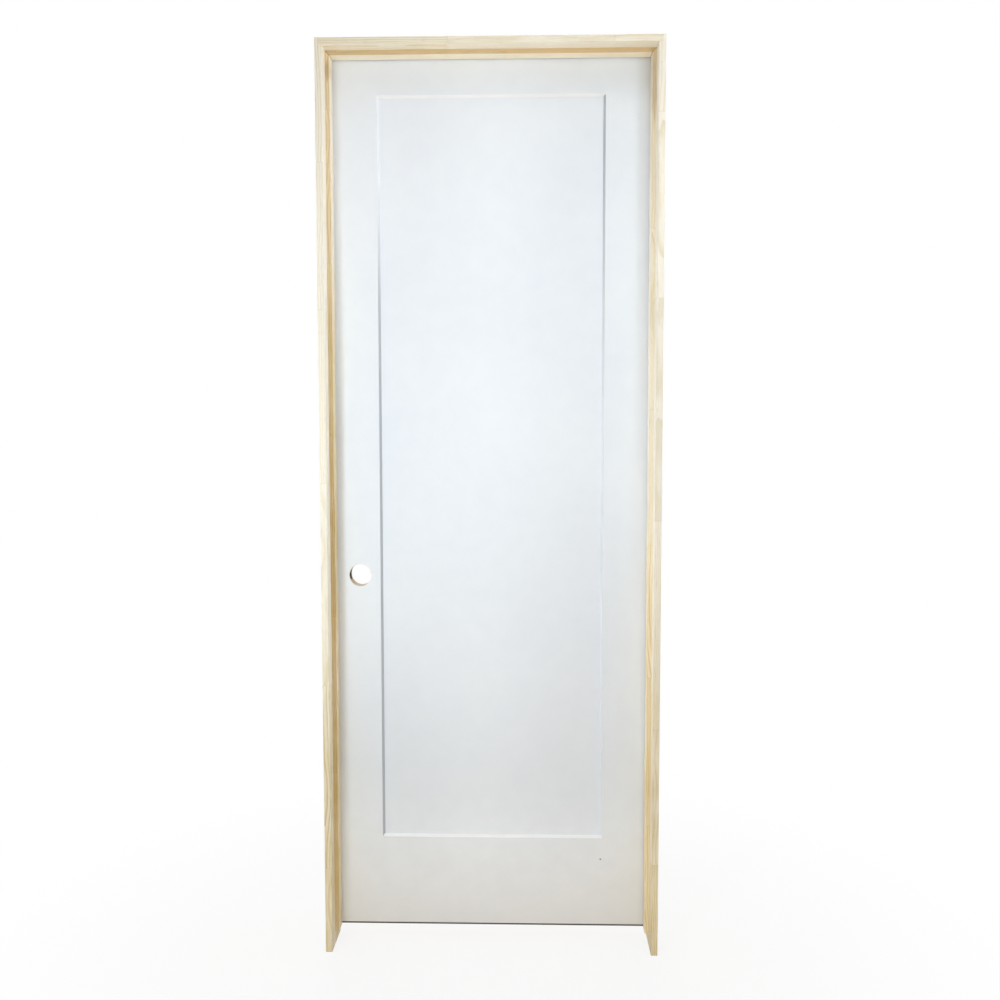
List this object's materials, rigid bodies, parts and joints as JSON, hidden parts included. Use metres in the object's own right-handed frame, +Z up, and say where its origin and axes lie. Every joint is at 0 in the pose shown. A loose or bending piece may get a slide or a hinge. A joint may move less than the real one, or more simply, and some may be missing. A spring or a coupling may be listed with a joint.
{
  "type": "prehung interior door",
  "caption": "White primed one-panel door hung on three butt hinges in an unfinished pine jamb set with mitred stops, bored for a lock.",
  "frame": {"origin": "middle of the hinge jamb's back face, where the unit is fixed to the rough opening", "axes": "+Z up; +X from the strike jamb to the hinge jamb and out of the hinge jamb's back; +Y from the stop side to the side the door swings to"},
  "size_m": [0.8038, 0.1375, 2.1638],
  "materials": {
    "pine": "bare finger-jointed pine, sanded",
    "primer": "white factory primer, matt",
    "hinge_steel": "satin nickel plate"
  },
  "bodies": {
    "frame": {"hinge_jamb": "pine", "strike_jamb": "pine", "head_jamb": "pine", "hinge_stop": "pine", "strike_stop": "pine", "head_stop": "pine", "upper_hinge_frame_leaf": "hinge_steel", "upper_hinge_pin": "hinge_steel", "middle_hinge_frame_leaf": "hinge_steel", "middle_hinge_pin": "hinge_steel", "lower_hinge_frame_leaf": "hinge_steel", "lower_hinge_pin": "hinge_steel"},
    "door": {"lock_stile": "primer", "hinge_stile": "primer", "top_rail": "primer", "bottom_rail": "primer", "panel": "primer", "upper_hinge_door_leaf": "hinge_steel", "middle_hinge_door_leaf": "hinge_steel", "lower_hinge_door_leaf": "hinge_steel"}
  },
  "joints": [
    {"name": "door_swing", "type": "hinge", "parent": "frame", "child": "door", "pos_m": [-0.0184, 0.0739, 0], "axis": [0, 0, -1], "range_deg": [0, 180]}
  ]
}
